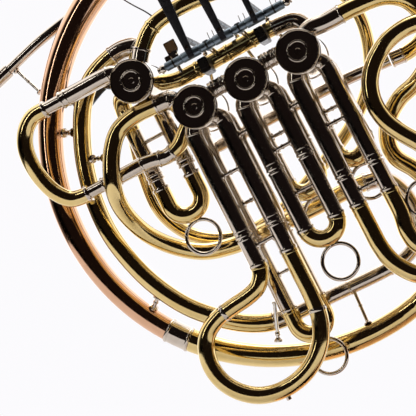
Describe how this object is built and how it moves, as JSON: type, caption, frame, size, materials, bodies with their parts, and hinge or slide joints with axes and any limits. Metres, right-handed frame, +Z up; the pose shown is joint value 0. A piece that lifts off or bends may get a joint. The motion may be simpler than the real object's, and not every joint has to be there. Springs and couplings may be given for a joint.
{
  "type": "french horn",
  "caption": "Double French horn with rotary valves, wound tubing, pull-out tuning slides, levers and a wide flared bell it stands on.",
  "frame": {"origin": "on the floor under the middle of the whole instrument, which stands on its bell rim", "axes": "+Z up; -Y faces the viewer who sees the valve caps; +X towards the bell"},
  "size_m": [0.633, 0.31, 0.5623],
  "materials": {
    "nickel_silver": "polished nickel silver, warm grey, with fine wiping scratches",
    "yellow_brass": "polished lacquered yellow brass",
    "rose_brass": "polished lacquered rose brass",
    "dark_lever": "satin dark coating on flat lever plates",
    "blued_steel": "smooth blued steel rod",
    "silver_plate": "bright silver plate"
  },
  "bodies": {
    "horn_body": {"bell_tail": "rose_brass", "bell_flare": "rose_brass", "bell_ferrule": "nickel_silver", "outer_branch": "yellow_brass", "third_valve_outlet": "yellow_brass", "inner_branch": "yellow_brass", "inner_cross_tube": "nickel_silver", "first_valve_loop": "yellow_brass", "rear_cross_tube": "yellow_brass", "change_valve_loop": "yellow_brass", "back_branch": "nickel_silver", "change_casing": "nickel_silver", "change_cap": "nickel_silver", "valve1_casing": "nickel_silver", "valve1_cap": "nickel_silver", "valve2_casing": "nickel_silver", "valve2_cap": "nickel_silver", "valve3_casing": "nickel_silver", "valve3_cap": "nickel_silver", "valve1_front_legs": "nickel_silver", "valve1_rear_legs": "nickel_silver", "valve2_front_legs": "nickel_silver", "valve2_rear_legs": "nickel_silver", "valve3_front_legs": "nickel_silver", "valve3_rear_legs": "nickel_silver", "change_slide_upper_leg": "nickel_silver", "change_slide_lower_leg": "nickel_silver", "tuning_slide_legs": "nickel_silver", "leadpipe": "yellow_brass", "mouthpiece_receiver": "nickel_silver", "lever_rod": "blued_steel", "thumb_bracket": "nickel_silver", "bell_brace_left": "nickel_silver", "bell_brace_bottom": "nickel_silver", "finger_hook": "nickel_silver"},
    "change_rotor_assembly": {"change_rotor": "nickel_silver", "change_stop_arm": "nickel_silver"},
    "valve1_rotor_assembly": {"valve1_rotor": "nickel_silver", "valve1_stop_arm": "nickel_silver"},
    "valve2_rotor_assembly": {"valve2_rotor": "nickel_silver", "valve2_stop_arm": "nickel_silver"},
    "valve3_rotor_assembly": {"valve3_rotor": "nickel_silver", "valve3_stop_arm": "nickel_silver"},
    "lever1_body": {"lever1": "dark_lever"},
    "link1_body": {"link1": "nickel_silver"},
    "lever2_body": {"lever2": "dark_lever"},
    "link2_body": {"link2": "nickel_silver"},
    "lever3_body": {"lever3": "dark_lever"},
    "link3_body": {"link3": "nickel_silver"},
    "thumb_lever_body": {"thumb_lever": "dark_lever"},
    "thumb_link_body": {"thumb_link": "nickel_silver"},
    "valve1_front_slide_body": {"valve1_front_slide": "yellow_brass"},
    "valve1_rear_slide_body": {"valve1_rear_slide": "yellow_brass"},
    "valve2_front_slide_body": {"valve2_front_slide": "yellow_brass"},
    "valve2_rear_slide_body": {"valve2_rear_slide": "yellow_brass"},
    "valve3_front_slide_body": {"valve3_front_slide": "yellow_brass"},
    "valve3_rear_slide_body": {"valve3_rear_slide": "yellow_brass"},
    "main_tuning_slide_body": {"main_tuning_slide": "yellow_brass"},
    "change_slide_body": {"change_slide": "yellow_brass"},
    "mouthpiece_body": {"mouthpiece": "silver_plate"}
  },
  "joints": [
    {"name": "lever1_press", "type": "hinge", "parent": "horn_body", "child": "lever1_body", "pos_m": [-0.07035, -0.066, 0.41402], "axis": [-0.891, 0, -0.454], "range_deg": [0, 12], "stiffness_Nm_per_rad": 0.5, "springref_deg": -11.46},
    {"name": "valve1_turn", "type": "hinge", "parent": "horn_body", "child": "valve1_rotor_assembly", "pos_m": [-0.06802, -0.026, 0.372], "axis": [0, 1, 0], "range_deg": [0, 90]},
    {"name": "link1_push", "type": "slide", "parent": "horn_body", "child": "link1_body", "axis": [0.454, 0, -0.891], "range_m": [0, 0.0165]},
    {"name": "lever2_press", "type": "hinge", "parent": "horn_body", "child": "lever2_body", "pos_m": [-0.04406, -0.066, 0.42741], "axis": [-0.891, 0, -0.454], "range_deg": [0, 12], "stiffness_Nm_per_rad": 0.5, "springref_deg": -11.46},
    {"name": "valve2_turn", "type": "hinge", "parent": "horn_body", "child": "valve2_rotor_assembly", "pos_m": [-0.02614, -0.026, 0.39334], "axis": [0, 1, 0], "range_deg": [0, 90]},
    {"name": "link2_push", "type": "slide", "parent": "horn_body", "child": "link2_body", "axis": [0.454, 0, -0.891], "range_m": [0, 0.0165]},
    {"name": "lever3_press", "type": "hinge", "parent": "horn_body", "child": "lever3_body", "pos_m": [-0.01822, -0.066, 0.44058], "axis": [-0.891, 0, -0.454], "range_deg": [0, 12], "stiffness_Nm_per_rad": 0.5, "springref_deg": -11.46},
    {"name": "valve3_turn", "type": "hinge", "parent": "horn_body", "child": "valve3_rotor_assembly", "pos_m": [0.01574, -0.026, 0.41468], "axis": [0, -1, 0], "range_deg": [0, 90]},
    {"name": "link3_push", "type": "slide", "parent": "horn_body", "child": "link3_body", "axis": [0.454, 0, -0.891], "range_m": [0, 0.0165]},
    {"name": "thumb_press", "type": "hinge", "parent": "horn_body", "child": "thumb_lever_body", "pos_m": [-0.16035, 0.013, 0.39903], "axis": [0, 1, 0], "range_deg": [0, 23], "stiffness_Nm_per_rad": 0.4, "springref_deg": -17.19},
    {"name": "change_turn", "type": "hinge", "parent": "horn_body", "child": "change_rotor_assembly", "pos_m": [-0.1205, -0.026, 0.39352], "axis": [0, -1, 0], "range_deg": [0, 90]},
    {"name": "thumb_link_push", "type": "slide", "parent": "horn_body", "child": "thumb_link_body", "axis": [0.454, 0, -0.891], "range_m": [0, 0.0105]},
    {"name": "valve1_front_pull", "type": "slide", "parent": "horn_body", "child": "valve1_front_slide_body", "axis": [0.454, 0, -0.891], "range_m": [0, 0.04]},
    {"name": "valve1_rear_pull", "type": "slide", "parent": "horn_body", "child": "valve1_rear_slide_body", "axis": [0.454, 0, -0.891], "range_m": [0, 0.03]},
    {"name": "valve2_front_pull", "type": "slide", "parent": "horn_body", "child": "valve2_front_slide_body", "axis": [0.454, 0, -0.891], "range_m": [0, 0.04]},
    {"name": "valve2_rear_pull", "type": "slide", "parent": "horn_body", "child": "valve2_rear_slide_body", "axis": [0.454, 0, -0.891], "range_m": [0, 0.03]},
    {"name": "valve3_front_pull", "type": "slide", "parent": "horn_body", "child": "valve3_front_slide_body", "axis": [0.454, 0, -0.891], "range_m": [0, 0.05]},
    {"name": "valve3_rear_pull", "type": "slide", "parent": "horn_body", "child": "valve3_rear_slide_body", "axis": [0.454, 0, -0.891], "range_m": [0, 0.025]},
    {"name": "main_tuning_pull", "type": "slide", "parent": "horn_body", "child": "main_tuning_slide_body", "axis": [0.454, 0, -0.891], "range_m": [0, 0.03]},
    {"name": "change_slide_pull", "type": "slide", "parent": "horn_body", "child": "change_slide_body", "axis": [-0.891, 0, -0.454], "range_m": [0, 0.03]},
    {"name": "mouthpiece_pull", "type": "slide", "parent": "horn_body", "child": "mouthpiece_body", "axis": [-0.743, -0.0297, -0.6687], "range_m": [0, 0.02]}
  ],
  "couplings": [
    {"joint": "valve1_turn", "follows": "lever1_press", "ratio": 7.5},
    {"joint": "link1_push", "follows": "lever1_press", "m_per_rad": 0.0759},
    {"joint": "valve2_turn", "follows": "lever2_press", "ratio": 7.5},
    {"joint": "link2_push", "follows": "lever2_press", "m_per_rad": 0.0759},
    {"joint": "valve3_turn", "follows": "lever3_press", "ratio": 7.5},
    {"joint": "link3_push", "follows": "lever3_press", "m_per_rad": 0.0759},
    {"joint": "change_turn", "follows": "thumb_press", "ratio": 3.91},
    {"joint": "thumb_link_push", "follows": "thumb_press", "m_per_rad": 0.0249}
  ]
}
